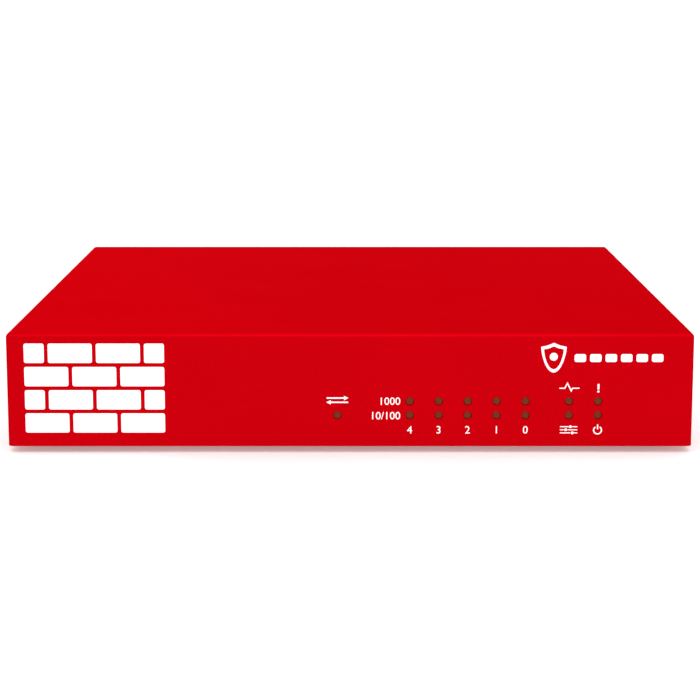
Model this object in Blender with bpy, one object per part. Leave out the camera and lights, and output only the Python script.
"""A desktop network firewall: a folded steel case on four rubber feet, and the board and all it carries inside.

Metres, +Z up. The front panel faces -Y and the sockets +Y. The origin is on the floor, under the middle of
the object's box. Every object is one physical piece. The moving pieces are power_rocker, which turns about its
own upright axis, and reset_button, which slides along Y.
"""

import math

import bmesh
import bpy
from mathutils import Matrix, Vector

# Driving dimensions
WIDTH = 0.205  # across the case
BODY_DEPTH = 0.161  # front face to rear panel
BODY_HEIGHT = 0.0345  # underside to top
FOOT_HEIGHT = 0.002  # the case's underside above the floor
ROCKER_REACH = 0.0038  # how far the rocker stands behind the rear panel
SHEET = 0.001  # steel thickness
BEND = 0.0015  # outer radius of a fold
GAP = 0.0003  # between the cover and the tray
REST_GAP = 0.00015  # between pieces that touch

# Planes that follow from them
SIDE_X = WIDTH / 2
FRONT_Y = -(BODY_DEPTH + ROCKER_REACH) / 2
REAR_Y = FRONT_Y + BODY_DEPTH
BASE_Z = FOOT_HEIGHT
TOP_Z = BASE_Z + BODY_HEIGHT
TRAY_X = SIDE_X - SHEET - GAP
TRAY_FRONT_Y = FRONT_Y + SHEET + GAP
TRAY_TOP_Z = TOP_Z - SHEET - GAP

# The board and its height on the standoffs
BOARD_THICKNESS = 0.0016
BOARD_Z = BASE_Z + SHEET + 0.0045
BOARD_TOP = BOARD_Z + BOARD_THICKNESS
ON_BOARD = BOARD_TOP + REST_GAP
BOARD_X = 0.097
BOARD_FRONT_Y = FRONT_Y + 0.0035
BOARD_REAR_Y = REAR_Y - 0.0022
STANDOFFS = [(-0.09, -0.066), (0.09, -0.066), (-0.09, 0.055), (0.09, 0.055)]
SCREW_SHANK = 0.0013

# Indicators: five port columns, two system columns and the failover light, on one pitch
LIGHT_PITCH = 0.00865
PORT_4_LIGHT_X = 0.01785
LIGHT_LOW_Z = BASE_Z + 0.0095
LIGHT_HIGH_Z = BASE_Z + 0.01375
LIGHT_HOLE = 0.0013
LIGHT_RADIUS = 0.0011
LIGHT_RECESS = 0.0003
LIGHT_COLUMNS = {
    "failover": (PORT_4_LIGHT_X - 2.5 * LIGHT_PITCH, 1),
    "port_4": (PORT_4_LIGHT_X, 2),
    "port_3": (PORT_4_LIGHT_X + LIGHT_PITCH, 2),
    "port_2": (PORT_4_LIGHT_X + 2 * LIGHT_PITCH, 2),
    "port_1": (PORT_4_LIGHT_X + 3 * LIGHT_PITCH, 2),
    "port_0": (PORT_4_LIGHT_X + 4 * LIGHT_PITCH, 2),
    "status": (PORT_4_LIGHT_X + 5.5 * LIGHT_PITCH, 2),
    "attention": (PORT_4_LIGHT_X + 6.5 * LIGHT_PITCH, 2),
}
LEG_LOW_Y = FRONT_Y + 0.0065  # where the lower row's pipe turns down to its lamp
LEG_HIGH_Y = FRONT_Y + 0.0105  # and the upper row's
LAMP_HEIGHT = 0.0008
LAMP_SIZE = 0.0016
PIPE_WEB = 0.001  # thickness of the web between a column's two pipes

# Sockets on the rear panel, left to right as seen from the front
JACK_PITCH = 0.014
JACK_WIDTH = 0.0135
JACK_HEIGHT = 0.013
JACK_FACE_Y = REAR_Y + 0.0005
JACK_BACK_Y = JACK_FACE_Y - 0.018
PORT_0_X = -0.004
CONSOLE_X = 0.037
CAN_WALL = 0.00035
PLUG_FLOOR = ON_BOARD + 0.0037  # the underside of a plug in its jack
PLUG_SIZE = (0.0118, 0.0135, 0.0079)
LATCH_STEPS = [(0.0062, 0.0014), (0.0038, 0.0024)]  # width and drop of the two steps under the plug
CAN_WINDOW = (0.0122, -0.0026, 0.0081)  # a window's width, and its lower and upper edge from the plug's floor
USB_X = 0.0185
USB_WIDTH = 0.0132
USB_HEIGHT = 0.0156
USB_WINDOW = (0.0124, 0.0051)
USB_CENTRES = (0.0042, 0.0114)  # the two windows above the board
POWER_JACK_X = 0.064
POWER_JACK_Z = BOARD_TOP + 0.0065
POWER_JACK_BODY = 0.0096  # width and height of the socket's square body
POWER_JACK_HOLE = 0.0048
RESET_X = 0.051
RESET_Z = BOARD_TOP + 0.0035
RESET_HOLE = 0.0011
SWITCH_X = 0.084
SWITCH_Z = 0.020
SWITCH_BEZEL = (0.021, 0.002, 0.015)
SWITCH_BODY = (0.019, 0.012, 0.0128)
SWITCH_WELL = (0.0172, 0.0108)
SWITCH_WELL_DEPTH = 0.0085
SWITCH_LEG = 0.016  # width of the part that stands on the board
ROCKER_LENGTH = 0.016
ROCKER_WIDTH = 0.0102
ROCKER_TILT = math.radians(8)
PIVOT_Y = REAR_Y - 0.0018  # the rocker's axis
TRUNNION_RADIUS = 0.00085
LOCK_SLOT = (-0.090, 0.014)
LOCK_SLOT_SIZE = (0.007, 0.003)
GROUND_SCREW = (-0.090, 0.0275)
GROUND_SCREW_HOLE = 0.0018

# The case's own openings and fixings
SIDE_VENTS = 14
SIDE_VENT_PITCH = 0.0058
SIDE_VENT = (0.0024, 0.012)
SIDE_VENT_Z = 0.0255
FLOOR_VENTS = 9
FLOOR_VENT_PITCH = 0.0056
FLOOR_VENT = (0.0024, 0.022)
FLOOR_VENT_CENTRES = [(-0.020, -0.040), (-0.020, 0.030)]
COVER_SCREW_Y = (-0.060, 0.056)
COVER_SCREW_Z = BASE_Z + 0.0075
COVER_SCREW_HOLE = 0.0021
COUNTERSINK = (0.0020, 0.0035)  # inner and outer radius
LIP_HEIGHT = 0.0055  # the tray's front lip
REAR_FLANGE = 0.009  # the flange at the top of its rear panel
SIDE_FLANGE = 0.0135
FOLD_RELIEF = 0.003  # how far the side flanges stop short of the other folds
KEYHOLES = [(-0.0635, 0.0), (0.0635, 0.0)]
KEYHOLE_RADIUS = 0.004
KEYHOLE_SLOT = (0.0038, 0.009)
FEET = [(-0.088, -0.068), (0.088, -0.068), (-0.088, 0.064), (0.088, 0.064)]
FOOT_RADIUS = 0.0065


# ---------------------------------------------------------------- materials
def coating(name, colour, roughness, metallic=0.0):
    """A Principled material with one colour."""
    material = bpy.data.materials.new(name)
    material.use_nodes = True
    shader = material.node_tree.nodes["Principled BSDF"]
    shader.inputs["Base Color"].default_value = (*colour, 1)
    shader.inputs["Roughness"].default_value = roughness
    shader.inputs["Metallic"].default_value = metallic
    return material


for old in list(bpy.data.objects):
    bpy.data.objects.remove(old)

RED_COAT = coating("red_powder_coat", (0.60, 0.002, 0.006), 0.42)
STEEL = coating("zinc_plated_steel", (0.62, 0.63, 0.65), 0.35, 1.0)
TINPLATE = coating("nickel_plated_shield", (0.72, 0.71, 0.68), 0.28, 1.0)
ALUMINIUM = coating("black_anodised_aluminium", (0.03, 0.03, 0.032), 0.45, 0.6)
SOLDER_MASK = coating("green_solder_mask", (0.012, 0.11, 0.045), 0.35)
EPOXY = coating("black_epoxy", (0.02, 0.02, 0.022), 0.5)
BLACK_PLASTIC = coating("black_moulded_plastic", (0.018, 0.018, 0.02), 0.45)
CLEAR_PLASTIC = coating("clear_polycarbonate", (0.45, 0.42, 0.30), 0.15)
RUBBER = coating("grey_rubber", (0.05, 0.05, 0.05), 0.85)
PAD = coating("thermal_pad_grey", (0.35, 0.38, 0.45), 0.8)
COPPER = coating("enamelled_copper", (0.55, 0.24, 0.10), 0.4, 0.7)


# ---------------------------------------------------------------- shapes
def box(bm, low, high):
    """Adds a block between two opposite corners."""
    low, high = Vector(low), Vector(high)
    place = Matrix.Translation((low + high) / 2) @ Matrix.Diagonal((*(high - low), 1))
    return bmesh.ops.create_cube(bm, size=1, matrix=place)["verts"]


def rod(bm, start, end, radius, end_radius=None, sides=12):
    """Adds a round bar, or a cone where the two radii differ."""
    start, end = Vector(start), Vector(end)
    turn = (end - start).to_track_quat("Z", "Y").to_matrix().to_4x4()
    bmesh.ops.create_cone(
        bm,
        cap_ends=True,
        segments=sides,
        radius1=radius,
        radius2=radius if end_radius is None else end_radius,
        depth=(end - start).length,
        matrix=Matrix.Translation((start + end) / 2) @ turn,
    )


def prism(bm, outline, offset):
    """Adds the solid that an outline sweeps as it moves by offset."""
    face = bm.faces.new([bm.verts.new(point) for point in outline])
    swept = bmesh.ops.extrude_face_region(bm, geom=[face])["geom"]
    moved = [part for part in swept if isinstance(part, bmesh.types.BMVert)]
    bmesh.ops.translate(bm, vec=offset, verts=moved)


def turned(bm, profile, sides):
    """Adds a solid of revolution about Z from (radius, height) pairs; a ring's profile closes on itself."""
    points = [bm.verts.new((radius, 0, height)) for radius, height in profile]
    edges = [bm.edges.new(pair) for pair in zip(points, points[1:])]
    if all(radius > 0 for radius, _ in profile):
        edges.append(bm.edges.new((points[-1], points[0])))
    bmesh.ops.spin(
        bm, geom=points + edges, axis=(0, 0, 1), cent=(0, 0, 0), steps=sides, angle=2 * math.pi
    )
    bmesh.ops.remove_doubles(bm, verts=bm.verts, dist=1e-6)


def obround(centre, across, along, size, steps=4):
    """The outline of a slot with round ends, from its centre, its two directions and (width, length)."""
    centre, across, along = Vector(centre), Vector(across), Vector(along)
    radius, reach = size[0] / 2, (size[1] - size[0]) / 2
    points = []
    for end in (1, -1):
        for step in range(steps + 1):
            angle = math.pi * step / steps
            turn = across * math.cos(angle) + along * math.sin(angle)
            points.append(centre + end * (along * reach + turn * radius))
    return points


def as_object(name, bm, material=None):
    """The finished mesh as an object; one with no material is a cutter or a join, which isn't a piece."""
    bmesh.ops.recalc_face_normals(bm, faces=bm.faces)
    mesh = bpy.data.meshes.new(name)
    bm.to_mesh(mesh)
    bm.free()
    made = bpy.data.objects.new(name, mesh)
    bpy.context.scene.collection.objects.link(made)
    if material:
        mesh.materials.append(material)
        mesh.shade_smooth()
        mesh.set_sharp_from_angle(angle=math.radians(35))
    else:
        made.hide_render = True
        made.display_type = "WIRE"
    return made


def combine(target, bm, operation):
    """Joins or cuts target with the shapes in bm, which may overlap each other."""
    tool = as_object(f"{target.name}_{operation.lower()}", bm)
    change = target.modifiers.new(operation.lower(), "BOOLEAN")
    change.operation = operation
    change.solver = "EXACT"
    change.use_self = True
    change.object = tool
    return tool


def copies(names, made, places, turn=None):
    """Puts a piece at the first place and copies that share its mesh at the rest."""
    for name, place in zip(names, places):
        if name != names[0]:
            made = made.copy()
            bpy.context.scene.collection.objects.link(made)
        made.name = name
        made.location = place
        if turn:
            made.rotation_euler = turn(place)


# ---------------------------------------------------------------- the case
def add_cover():
    """Top, front and both sides, folded from one sheet, welded and dressed at the two front corners."""
    bm = bmesh.new()
    box(bm, (-SIDE_X, FRONT_Y, BASE_Z), (SIDE_X, REAR_Y, TOP_Z))
    near = SHEET / 10
    folds = []
    for edge in bm.edges:
        points = [vert.co for vert in edge.verts]
        on_top = all(abs(point.z - TOP_Z) < near for point in points)
        at_rear = all(abs(point.y - REAR_Y) < near for point in points)
        at_front = all(abs(point.y - FRONT_Y) < near for point in points)
        upright = abs(points[0].z - points[1].z) > near
        if (on_top and not at_rear) or (at_front and upright):
            folds.append(edge)
    bmesh.ops.bevel(bm, geom=folds, offset=BEND, segments=3, profile=0.5, affect="EDGES")
    bm.normal_update()
    open_faces = [face for face in bm.faces if face.normal.z < -0.9 or face.normal.y > 0.9]
    bmesh.ops.delete(bm, geom=open_faces, context="FACES")
    mesh = bpy.data.meshes.new("top_cover")
    bm.to_mesh(mesh)
    bm.free()
    cover = bpy.data.objects.new("top_cover", mesh)
    bpy.context.scene.collection.objects.link(cover)
    mesh.materials.append(RED_COAT)
    wall = cover.modifiers.new("wall", "SOLIDIFY")
    wall.thickness = SHEET
    wall.offset = -1
    wall.use_even_offset = True

    holes = bmesh.new()
    for x, rows in LIGHT_COLUMNS.values():
        for z in (LIGHT_LOW_Z, LIGHT_HIGH_Z)[:rows]:
            rod(holes, (x, FRONT_Y - SHEET, z), (x, FRONT_Y + 2 * SHEET, z), LIGHT_HOLE)
    for side in (-1, 1):
        for index in range(SIDE_VENTS):
            y = (index - (SIDE_VENTS - 1) / 2) * SIDE_VENT_PITCH + (FRONT_Y + REAR_Y) / 2
            start = (side * (SIDE_X - 2 * SHEET), y, SIDE_VENT_Z)
            prism(holes, obround(start, (0, 1, 0), (0, 0, 1), SIDE_VENT), (side * 3 * SHEET, 0, 0))
        for y in COVER_SCREW_Y:
            inner = (side * (SIDE_X - 1.5 * SHEET), y, COVER_SCREW_Z)
            outer = (side * (SIDE_X + 0.5 * SHEET), y, COVER_SCREW_Z)
            rod(holes, inner, outer, *COUNTERSINK, sides=16)
    combine(cover, holes, "DIFFERENCE")


def tray_outline():
    """The tray's section along Y: front lip, floor, rear panel and its top flange, with round folds."""
    lip_z, flange_y = BASE_Z + LIP_HEIGHT, REAR_Y - REAR_FLANGE
    outer = [
        (TRAY_FRONT_Y, lip_z),
        (TRAY_FRONT_Y, BASE_Z),
        (REAR_Y, BASE_Z),
        (REAR_Y, TRAY_TOP_Z),
        (flange_y, TRAY_TOP_Z),
    ]
    inner = [
        (flange_y, TRAY_TOP_Z - SHEET),
        (REAR_Y - SHEET, TRAY_TOP_Z - SHEET),
        (REAR_Y - SHEET, BASE_Z + SHEET),
        (TRAY_FRONT_Y + SHEET, BASE_Z + SHEET),
        (TRAY_FRONT_Y + SHEET, lip_z),
    ]
    return rounded(outer, BEND) + rounded(inner, BEND - SHEET)


def rounded(path, radius, steps=3):
    """A path of (y, z) points with each inner corner, a right angle, turned into an arc."""
    points = [Vector(path[0])]
    for before, corner, after in zip(path, path[1:], path[2:]):
        corner = Vector(corner)
        come = (Vector(before) - corner).normalized()
        leave = (Vector(after) - corner).normalized()
        centre = corner + (come + leave) * radius
        for step in range(steps + 1):
            angle = math.pi / 2 * step / steps
            points.append(centre - (leave * math.cos(angle) + come * math.sin(angle)) * radius)
    return points + [Vector(path[-1])]


def add_tray():
    """Floor, rear panel, front lip and side flanges, with every cut-out."""
    bm = bmesh.new()
    outline = [(-TRAY_X, point.x, point.y) for point in tray_outline()]
    prism(bm, outline, (2 * TRAY_X, 0, 0))
    tray = as_object("base_tray", bm, RED_COAT)

    flanges = bmesh.new()
    for side in (-1, 1):
        edges = sorted((side * TRAY_X, side * (TRAY_X - SHEET)))
        low = (edges[0], TRAY_FRONT_Y + FOLD_RELIEF, BASE_Z)
        box(flanges, low, (edges[1], REAR_Y - FOLD_RELIEF, BASE_Z + SIDE_FLANGE))
    combine(tray, flanges, "UNION")

    cuts = bmesh.new()
    wall = (REAR_Y - 2 * SHEET, REAR_Y + SHEET)
    half = JACK_WIDTH / 2 + CAN_WALL + GAP
    sockets = [
        (PORT_0_X - 4 * JACK_PITCH - half, PORT_0_X + half, JACK_HEIGHT + CAN_WALL),
        (CONSOLE_X - half, CONSOLE_X + half, JACK_HEIGHT + CAN_WALL),
        (USB_X - USB_WIDTH / 2 - GAP, USB_X + USB_WIDTH / 2 + GAP, USB_HEIGHT),
    ]
    for left, right, height in sockets:
        box(cuts, (left, wall[0], ON_BOARD - GAP), (right, wall[1], ON_BOARD + height + GAP))
    across, high = SWITCH_BODY[0] / 2 + GAP, SWITCH_BODY[2] / 2 + GAP
    low_corner = (SWITCH_X - across, wall[0], SWITCH_Z - high)
    box(cuts, low_corner, (SWITCH_X + across, wall[1], SWITCH_Z + high))
    round_holes = [
        (POWER_JACK_X, POWER_JACK_Z, POWER_JACK_HOLE, 20),
        (RESET_X, RESET_Z, RESET_HOLE, 10),
        (*GROUND_SCREW, GROUND_SCREW_HOLE, 10),
    ]
    for x, z, radius, sides in round_holes:
        rod(cuts, (x, wall[0], z), (x, wall[1], z), radius, sides=sides)
    lock = obround((LOCK_SLOT[0], wall[0], LOCK_SLOT[1]), (0, 0, 1), (1, 0, 0), LOCK_SLOT_SIZE[::-1])
    prism(cuts, lock, (0, wall[1] - wall[0], 0))

    floor = (BASE_Z - SHEET, BASE_Z + 2 * SHEET)
    for x, y in KEYHOLES:
        rod(cuts, (x, y, floor[0]), (x, y, floor[1]), KEYHOLE_RADIUS, sides=20)
    for x, y in FLOOR_VENT_CENTRES:
        for index in range(FLOOR_VENTS):
            place = (x + (index - (FLOOR_VENTS - 1) / 2) * FLOOR_VENT_PITCH, y, floor[0])
            prism(cuts, obround(place, (1, 0, 0), (0, 1, 0), FLOOR_VENT), (0, 0, 3 * SHEET))
    for side in (-1, 1):
        for y in COVER_SCREW_Y:
            outer = (side * (TRAY_X + SHEET), y, COVER_SCREW_Z)
            inner = (side * (TRAY_X - 2 * SHEET), y, COVER_SCREW_Z)
            rod(cuts, outer, inner, COVER_SCREW_HOLE, sides=12)
    combine(tray, cuts, "DIFFERENCE")

    stems = bmesh.new()
    for x, y in KEYHOLES:
        middle = (x, y + KEYHOLE_SLOT[1] / 2, floor[0])
        prism(stems, obround(middle, (1, 0, 0), (0, 1, 0), KEYHOLE_SLOT), (0, 0, 3 * SHEET))
    combine(tray, stems, "DIFFERENCE")


def add_feet():
    """Four stick-on rubber feet with a chamfered tread."""
    top, chamfer = FOOT_HEIGHT - REST_GAP, 0.0005
    bm = bmesh.new()
    profile = [(0, 0), (FOOT_RADIUS - chamfer, 0), (FOOT_RADIUS, chamfer), (FOOT_RADIUS, top), (0, top)]
    turned(bm, profile, 24)
    foot = as_object("foot_front_left", bm, RUBBER)
    names = ["foot_front_left", "foot_front_right", "foot_rear_left", "foot_rear_right"]
    copies(names, foot, [(x, y, 0) for x, y in FEET])


def add_screws():
    """Countersunk cover screws at the sides, and the ground screw on the rear panel."""
    head, cone, tip = 0.0027, -0.0015, -0.0055
    bm = bmesh.new()
    turned(bm, [(0, 0), (head, 0), (SCREW_SHANK, cone), (SCREW_SHANK, tip), (0, tip)], 16)
    screw = as_object("cover_screw", bm, STEEL)
    names = [f"cover_screw_{end}_{side}" for end in ("front", "rear") for side in ("left", "right")]
    places = [(side * SIDE_X, y, COVER_SCREW_Z) for y in COVER_SCREW_Y for side in (-1, 1)]
    copies(names, screw, places, turn=lambda place: (0, math.copysign(math.pi / 2, place[0]), 0))

    head, crown, top, shank, tip = 0.0034, 0.0025, 0.0024, 0.0014, -0.005
    bm = bmesh.new()
    pan = [(0, top), (crown, top), (head, 0.0015), (head, REST_GAP)]
    turned(bm, pan + [(shank, REST_GAP), (shank, tip), (0, tip)], 16)
    ground = as_object("ground_screw", bm, STEEL)
    ground.location = (GROUND_SCREW[0], REAR_Y, GROUND_SCREW[1])
    ground.rotation_euler = (-math.pi / 2, 0, 0)


# ---------------------------------------------------------------- the board
HEATSINK = (-0.020, -0.005)
HEATSINK_EAR = 0.031  # from its middle to each of its screws
EAR_THICKNESS = 0.002
BOARD_HOLE = 0.0018
PROCESSOR_TOP = ON_BOARD + 0.0016
PAD_TOP = PROCESSOR_TOP + REST_GAP + 0.001
SINK_Z = PAD_TOP + REST_GAP
STORAGE_X = 0.060
STORAGE_Y = (-0.028, 0.014)
STORAGE_Z = ON_BOARD + 0.0026
CARD_WIDTH = 0.022
CARD_THICKNESS = 0.0008


def add_board():
    """The main board, drilled for its screws, with the fifteen lamps soldered along its front edge."""
    bm = bmesh.new()
    box(bm, (-BOARD_X, BOARD_FRONT_Y, BOARD_Z), (BOARD_X, BOARD_REAR_Y, BOARD_TOP))
    board = as_object("main_board", bm, SOLDER_MASK)
    holes = bmesh.new()
    sink_holes = [(HEATSINK[0] + side * HEATSINK_EAR, HEATSINK[1]) for side in (-1, 1)]
    for x, y in [*STANDOFFS, *sink_holes, (STORAGE_X, STORAGE_Y[1] - 0.001)]:
        rod(holes, (x, y, BOARD_Z - SHEET), (x, y, BOARD_TOP + SHEET), BOARD_HOLE, sides=10)
    combine(board, holes, "DIFFERENCE")
    lamps = bmesh.new()
    for x, rows in LIGHT_COLUMNS.values():
        for y in (LEG_LOW_Y, LEG_HIGH_Y)[:rows]:
            half = LAMP_SIZE / 2
            box(lamps, (x - half, y - half, BOARD_TOP - half), (x + half, y + half, BOARD_TOP + LAMP_HEIGHT))
    combine(board, lamps, "UNION")


def add_board_fixings():
    """Hexagonal standoffs pressed into the tray, and a pan-head screw in each."""
    bm = bmesh.new()
    base, top = BASE_Z + SHEET + REST_GAP, BOARD_Z - REST_GAP
    bore, corner = 0.0018, 0.0031
    turned(bm, [(bore, base), (corner, base), (corner, top), (bore, top)], 6)
    names = [f"board_standoff_{number}" for number in range(1, 5)]
    copies(names, as_object(names[0], bm, STEEL), [(x, y, 0) for x, y in STANDOFFS])

    bm = bmesh.new()
    top, foot, head = ON_BOARD + 0.0018, BOARD_Z - 0.004, 0.0028
    pan = [(0, top), (head - 0.0006, top), (head, top - 0.0006), (head, ON_BOARD)]
    turned(bm, pan + [(SCREW_SHANK, ON_BOARD), (SCREW_SHANK, foot), (0, foot)], 12)
    names = [f"board_screw_{number}" for number in range(1, 5)]
    copies(names, as_object(names[0], bm, STEEL), [(x, y, 0) for x, y in STANDOFFS])


def add_chip(name, x, y, size, bottom=ON_BOARD, material=EPOXY):
    """A rectangular package flat on what is under it."""
    bm = bmesh.new()
    box(bm, (x - size[0] / 2, y - size[1] / 2, bottom), (x + size[0] / 2, y + size[1] / 2, bottom + size[2]))
    bmesh.ops.bevel(bm, geom=bm.edges[:], offset=size[2] / 10, segments=1, affect="EDGES")
    return as_object(name, bm, material)


def add_heatsink():
    """An extruded sink with fins along X, in line with the side vents, held by two spring-loaded screws."""
    x, y = HEATSINK
    half_x, half_y, plate, fin, fins = 0.026, 0.028, 0.003, 0.0012, 11
    fin_top = 0.031
    outline = [(y - half_y, SINK_Z)]
    for index in range(fins):
        start = y - half_y + index * (2 * half_y - fin) / (fins - 1)
        foot = SINK_Z + plate
        outline += [(start, foot), (start, fin_top), (start + fin, fin_top), (start + fin, foot)]
    outline.append((y + half_y, SINK_Z))
    outline = [point for point, after in zip(outline, [*outline[1:], None]) if point != after]
    bm = bmesh.new()
    prism(bm, [(x - half_x, *point) for point in outline], (2 * half_x, 0, 0))
    sink = as_object("heatsink", bm, ALUMINIUM)
    ears = bmesh.new()
    reach, half_width = HEATSINK_EAR + 0.005, 0.008
    top = SINK_Z + EAR_THICKNESS
    box(ears, (x - reach, y - half_width, SINK_Z), (x + reach, y + half_width, top))
    combine(sink, ears, "UNION")
    holes = bmesh.new()
    for side in (-1, 1):
        place = (x + side * HEATSINK_EAR, y)
        rod(holes, (*place, SINK_Z - SHEET), (*place, SINK_Z + plate), BOARD_HOLE, sides=10)
    combine(sink, holes, "DIFFERENCE")

    bm = bmesh.new()
    seat, tip = top + REST_GAP, BOARD_Z - 0.0015
    head, head_low, head_top = 0.0024, seat + 0.0065, seat + 0.008
    spring = 0.0020  # the spring round the shank, as a sleeve
    profile = [(0, head_top), (head, head_top), (head, head_low), (spring, head_low)]
    profile += [(spring, seat), (SCREW_SHANK, seat), (SCREW_SHANK, tip), (0, tip)]
    turned(bm, profile, 12)
    names = ["heatsink_screw_left", "heatsink_screw_right"]
    places = [(x + side * HEATSINK_EAR, y, 0) for side in (-1, 1)]
    copies(names, as_object(names[0], bm, STEEL), places)


def add_storage():
    """A small storage card: one edge in its socket, the other held by a screw."""
    end = STORAGE_Y[0] - 0.0005
    size = (0.0236, 0.008, 0.0042)
    socket = add_chip("storage_socket", STORAGE_X, end, size, material=BLACK_PLASTIC)
    slot = bmesh.new()
    half, card_top = CARD_WIDTH / 2, STORAGE_Z + CARD_THICKNESS
    low = (STORAGE_X - half - 0.0002, end, STORAGE_Z - GAP)
    box(slot, low, (STORAGE_X + half + 0.0002, end + size[1], card_top + GAP))
    combine(socket, slot, "DIFFERENCE")

    bm = bmesh.new()
    box(bm, (STORAGE_X - half, STORAGE_Y[0], STORAGE_Z), (STORAGE_X + half, STORAGE_Y[1], card_top))
    card = as_object("storage_module", bm, SOLDER_MASK)
    chips = bmesh.new()
    for y in (-0.014, 0.002):
        low = (STORAGE_X - 0.007, y - 0.006, STORAGE_Z + CARD_THICKNESS / 2)
        box(chips, low, (STORAGE_X + 0.007, y + 0.006, card_top + 0.0012))
    combine(card, chips, "UNION")
    notch = bmesh.new()
    place = (STORAGE_X, STORAGE_Y[1] - 0.001)
    rod(notch, (*place, STORAGE_Z - SHEET), (*place, STORAGE_Z + 2 * SHEET), 0.0024, sides=12)
    combine(card, notch, "DIFFERENCE")

    bm = bmesh.new()
    seat, step, head, neck, pillar = card_top + REST_GAP, STORAGE_Z - REST_GAP, 0.0028, 0.0018, 0.0026
    profile = [(0, seat + 0.001), (head, seat + 0.001), (head, seat), (neck, seat), (neck, step)]
    profile += [(pillar, step), (pillar, ON_BOARD)]
    profile += [(SCREW_SHANK, ON_BOARD), (SCREW_SHANK, BOARD_Z), (0, BOARD_Z)]
    turned(bm, profile, 12)
    as_object("storage_screw", bm, STEEL).location = (*place, 0)


def add_coin_cell():
    """The clock's coin cell in an open round holder."""
    place, radius, thickness, floor = (-0.075, -0.040, 0), 0.010, 0.0032, ON_BOARD + 0.0008
    bm = bmesh.new()
    inner, outer, rim = radius + GAP, radius + 0.0014, floor + 0.0026
    turned(bm, [(0, ON_BOARD), (outer, ON_BOARD), (outer, rim), (inner, rim), (inner, floor), (0, floor)], 20)
    as_object("coin_cell_holder", bm, BLACK_PLASTIC).location = place
    bm = bmesh.new()
    base = floor + REST_GAP
    turned(bm, [(0, base), (radius - 0.0012, base), (radius, base + 0.0006), (radius, base + thickness),
                (0, base + thickness)], 20)
    as_object("coin_cell", bm, STEEL).location = place


def add_power_parts():
    """The transformer that feeds power to a cable, and the big smoothing capacitor."""
    add_chip("poe_transformer", 0.074, 0.036, (0.022, 0.019, 0.013), material=COPPER)
    bm = bmesh.new()
    radius, top = 0.008, ON_BOARD + 0.0165
    rim = 0.0006
    turned(bm, [(0, ON_BOARD), (radius, ON_BOARD), (radius, top - rim), (radius - rim, top), (0, top)], 20)
    as_object("bulk_capacitor", bm, ALUMINIUM).location = (0.047, 0.038, 0)


# ---------------------------------------------------------------- sockets
def add_insert(name, x):
    """One jack's moulded body, with the hole for the plug and the two steps for its latch."""
    wide = JACK_WIDTH / 2 - REST_GAP
    clear = CAN_WALL + REST_GAP
    high = ON_BOARD + JACK_HEIGHT - REST_GAP
    bm = bmesh.new()
    box(bm, (x - wide, JACK_BACK_Y + clear, ON_BOARD), (x + wide, JACK_FACE_Y - clear, high))
    insert = as_object(name, bm, BLACK_PLASTIC)
    cavity = bmesh.new()
    width, depth, height = PLUG_SIZE
    back, mouth = JACK_FACE_Y - depth, JACK_FACE_Y + SHEET
    box(cavity, (x - width / 2, back, PLUG_FLOOR), (x + width / 2, mouth, PLUG_FLOOR + height))
    for width, drop in LATCH_STEPS:
        box(cavity, (x - width / 2, back, PLUG_FLOOR - drop), (x + width / 2, mouth, PLUG_FLOOR + SHEET))
    combine(insert, cavity, "DIFFERENCE")


def add_can(name, xs):
    """The plated shield over one jack or a row: top, ends, back and a face with a window for each jack."""
    bm = bmesh.new()
    half = JACK_WIDTH / 2
    low = (min(xs) - half - CAN_WALL, JACK_BACK_Y, ON_BOARD)
    high = (max(xs) + half + CAN_WALL, JACK_FACE_Y, ON_BOARD + JACK_HEIGHT + CAN_WALL)
    box(bm, low, high)
    can = as_object(name, bm, TINPLATE)
    hollow = bmesh.new()
    box(hollow, (low[0] + CAN_WALL, low[1] + CAN_WALL, low[2] - SHEET),
        (high[0] - CAN_WALL, high[1] - CAN_WALL, high[2] - CAN_WALL))
    combine(can, hollow, "DIFFERENCE")
    windows = bmesh.new()
    width, lower, upper = CAN_WINDOW
    for x in xs:
        low = (x - width / 2, JACK_FACE_Y - SHEET, PLUG_FLOOR + lower)
        box(windows, low, (x + width / 2, JACK_FACE_Y + SHEET, PLUG_FLOOR + upper))
    combine(can, windows, "DIFFERENCE")


def add_network_jacks():
    """The five network ports under one shield, and the console port."""
    ports = [PORT_0_X - number * JACK_PITCH for number in range(5)]
    for number, x in enumerate(ports):
        add_insert(f"port_insert_{number}", x)
    add_can("ethernet_shield", ports)
    add_insert("console_insert", CONSOLE_X)
    add_can("console_shield", [CONSOLE_X])


def add_usb():
    """Two stacked USB sockets in one shell, with the moulded body that carries their tongues."""
    half = USB_WIDTH / 2
    bm = bmesh.new()
    box(bm, (USB_X - half, JACK_BACK_Y, ON_BOARD), (USB_X + half, JACK_FACE_Y, ON_BOARD + USB_HEIGHT))
    shell = as_object("usb_shell", bm, TINPLATE)
    cuts = bmesh.new()
    wide, tall = USB_WINDOW[0] / 2, USB_WINDOW[1] / 2
    back = JACK_BACK_Y + SHEET
    for centre in USB_CENTRES:
        z = ON_BOARD + centre
        box(cuts, (USB_X - wide, back, z - tall), (USB_X + wide, JACK_FACE_Y + SHEET, z + tall))
    combine(shell, cuts, "DIFFERENCE")

    wide, tall, back = wide - REST_GAP, tall - REST_GAP, back + REST_GAP
    reach, tip = 0.0052, JACK_FACE_Y - 0.0015
    for centre, level in zip(USB_CENTRES, ("lower", "upper")):
        z = ON_BOARD + centre
        bm = bmesh.new()
        box(bm, (USB_X - wide, back, z - tall), (USB_X + wide, back + 0.004, z + tall))
        block = as_object(f"usb_tongue_{level}", bm, BLACK_PLASTIC)
        tongue = bmesh.new()
        box(tongue, (USB_X - reach, back + 0.002, z + 0.0002), (USB_X + reach, tip, z + 0.0019))
        combine(block, tongue, "UNION")


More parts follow.
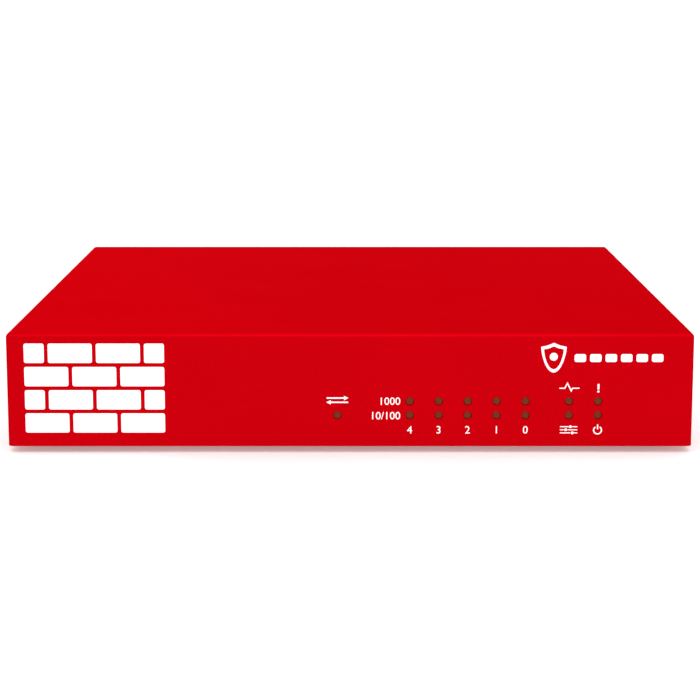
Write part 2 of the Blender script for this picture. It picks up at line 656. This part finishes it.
def add_power_jack():
    """A barrel socket: square body on the board, round nose through the panel, pin down its middle."""
    nose, bore, pin_bore = 0.0045, 0.0032, 0.0016
    body_back, bore_back = REAR_Y - 0.014, REAR_Y - 0.0095
    half = POWER_JACK_BODY / 2
    bm = bmesh.new()
    low = (POWER_JACK_X - half, body_back, ON_BOARD)
    box(bm, low, (POWER_JACK_X + half, REAR_Y - 0.0022, POWER_JACK_Z + half))
    jack = as_object("dc_jack", bm, BLACK_PLASTIC)

    def lengthwise(bm, start, end, radius, sides):
        """Adds a round bar on the socket's axis between two distances back."""
        rod(bm, (POWER_JACK_X, start, POWER_JACK_Z), (POWER_JACK_X, end, POWER_JACK_Z), radius, sides=sides)

    snout = bmesh.new()
    lengthwise(snout, REAR_Y - 0.006, REAR_Y + 0.0008, nose, 24)
    combine(jack, snout, "UNION")
    hole = bmesh.new()
    lengthwise(hole, bore_back, REAR_Y + 2 * SHEET, bore, 20)
    lengthwise(hole, body_back + 2 * SHEET, bore_back + SHEET / 2, pin_bore, 12)
    combine(jack, hole, "DIFFERENCE")

    bm = bmesh.new()
    radius, length, taper = 0.00105, 0.0115, 0.0008
    turned(bm, [(0, length), (0.0006, length), (radius, length - taper), (radius, 0), (0, 0)], 12)
    pin = as_object("dc_jack_pin", bm, TINPLATE)
    pin.location = (POWER_JACK_X, body_back + 2 * SHEET + REST_GAP, POWER_JACK_Z)
    pin.rotation_euler = (-math.pi / 2, 0, 0)


def add_power_switch():
    """The rocker switch: a bezel on the panel, a body behind it standing on the board, and the rocker."""
    width, bezel, height = SWITCH_BEZEL
    start = REAR_Y + REST_GAP

    def upright(bm, size, y):
        """Adds a block of that width and height about the switch's middle, between two distances back."""
        low = (SWITCH_X - size[0] / 2, y[0], SWITCH_Z - size[1] / 2)
        box(bm, low, (SWITCH_X + size[0] / 2, y[1], SWITCH_Z + size[1] / 2))

    bm = bmesh.new()
    upright(bm, (width, height), (start, start + bezel))
    housing = as_object("power_switch_housing", bm, BLACK_PLASTIC)
    width, depth, height = SWITCH_BODY
    rear = bmesh.new()
    upright(rear, (width, height), (REAR_Y - depth, start + bezel / 2))
    leg = SWITCH_LEG / 2
    box(rear, (SWITCH_X - leg, REAR_Y - depth, ON_BOARD), (SWITCH_X + leg, REAR_Y - 0.004, SWITCH_Z))
    combine(housing, rear, "UNION")
    well = bmesh.new()
    upright(well, SWITCH_WELL, (REAR_Y - SWITCH_WELL_DEPTH, REAR_Y + 0.005))
    combine(housing, well, "DIFFERENCE")
    bearing = bmesh.new()
    reach = SWITCH_BODY[2] / 2 - 0.0002
    ends = [(SWITCH_X, PIVOT_Y, SWITCH_Z + side * reach) for side in (-1, 1)]
    rod(bearing, *ends, TRUNNION_RADIUS + REST_GAP, sides=16)
    combine(housing, bearing, "DIFFERENCE")

    # The rocker's section, seen along its axis, with the axis at the origin: a shallow V of two paddles.
    end, crown, dip, skirt, root, depth = ROCKER_LENGTH / 2, 0.0046, 0.0037, 0.0020, 0.0024, -0.0030
    lip = 0.0004
    right = [(end - lip, crown), (end, crown - lip), (end, skirt), (root, depth)]
    outline = [(0, dip), *right, *((-x, y) for x, y in reversed(right))]
    bm = bmesh.new()
    half = ROCKER_WIDTH / 2
    turn = Matrix.Rotation(-ROCKER_TILT, 2)
    prism(bm, [(*(turn @ Vector(point)), -half) for point in outline], (0, 0, 2 * half))
    rocker = as_object("power_rocker", bm, BLACK_PLASTIC)
    trunnions = bmesh.new()
    rod(trunnions, (0, 0, -reach + REST_GAP), (0, 0, reach - REST_GAP), TRUNNION_RADIUS, sides=16)
    combine(rocker, trunnions, "UNION").parent = rocker
    rocker.location = (SWITCH_X, PIVOT_Y, SWITCH_Z)


def add_reset():
    """The reset button: a small switch on the board with a plunger just behind a pinhole in the panel."""
    body, half, height, bore_radius = (REAR_Y - 0.0095, REAR_Y - 0.0045), 0.003, 0.0065, 0.0015
    bm = bmesh.new()
    box(bm, (RESET_X - half, body[0], ON_BOARD), (RESET_X + half, body[1], ON_BOARD + height))
    switch = as_object("reset_switch", bm, BLACK_PLASTIC)
    bore = bmesh.new()
    rod(bore, (RESET_X, body[0] + SHEET, RESET_Z), (RESET_X, body[1] + SHEET, RESET_Z), bore_radius, sides=12)
    combine(switch, bore, "DIFFERENCE")

    bm = bmesh.new()
    stem, collar, inner, shoulder, tip, chamfer = 0.0010, 0.0013, -0.0018, 0.0002, 0.0030, 0.0002
    profile = [(0, tip), (stem - chamfer, tip), (stem, tip - chamfer), (stem, shoulder)]
    turned(bm, profile + [(collar, shoulder), (collar, inner), (0, inner)], 12)
    plunger = as_object("reset_button", bm, BLACK_PLASTIC)
    plunger.location = (RESET_X, body[1] - 0.0004, RESET_Z)
    plunger.rotation_euler = (-math.pi / 2, 0, 0)


# ---------------------------------------------------------------- light pipes
def add_light_pipes():
    """A clear moulding for each column: a round pipe to each window, a leg down to each lamp, and a web."""
    lamp_top = BOARD_TOP + LAMP_HEIGHT + REST_GAP
    for name, (x, rows) in LIGHT_COLUMNS.items():
        levels = list(zip((LIGHT_LOW_Z, LIGHT_HIGH_Z), (LEG_LOW_Y, LEG_HIGH_Y)))[:rows]
        top_z, back_y = levels[-1]
        web = bmesh.new()
        half = PIPE_WEB / 2
        low = (x - half, FRONT_Y + 0.0028, LIGHT_LOW_Z - 0.0006)
        box(web, low, (x + half, back_y, top_z + 0.0004))
        pipe = as_object(f"light_pipe_{name}", web, CLEAR_PLASTIC)
        parts = bmesh.new()
        for z, leg in levels:
            half = LAMP_SIZE / 2
            rod(parts, (x, FRONT_Y + LIGHT_RECESS, z), (x, leg, z), LIGHT_RADIUS)
            box(parts, (x - half, leg - half, lamp_top), (x + half, leg + half, z))
        combine(pipe, parts, "UNION")


add_cover()
add_tray()
add_feet()
add_screws()
add_board()
add_board_fixings()
add_chip("processor", *HEATSINK, (0.035, 0.035, 0.0016))
add_chip("thermal_pad", *HEATSINK, (0.030, 0.030, 0.001), bottom=PROCESSOR_TOP + REST_GAP, material=PAD)
add_heatsink()
add_chip("memory_chip_front", 0.030, -0.022, (0.010, 0.014, 0.0012))
add_chip("memory_chip_rear", 0.030, 0.004, (0.010, 0.014, 0.0012))
add_chip("network_switch_chip", -0.032, 0.045, (0.020, 0.020, 0.0014))
add_storage()
add_coin_cell()
add_power_parts()
add_network_jacks()
add_usb()
add_power_jack()
add_power_switch()
add_reset()
add_light_pipes()
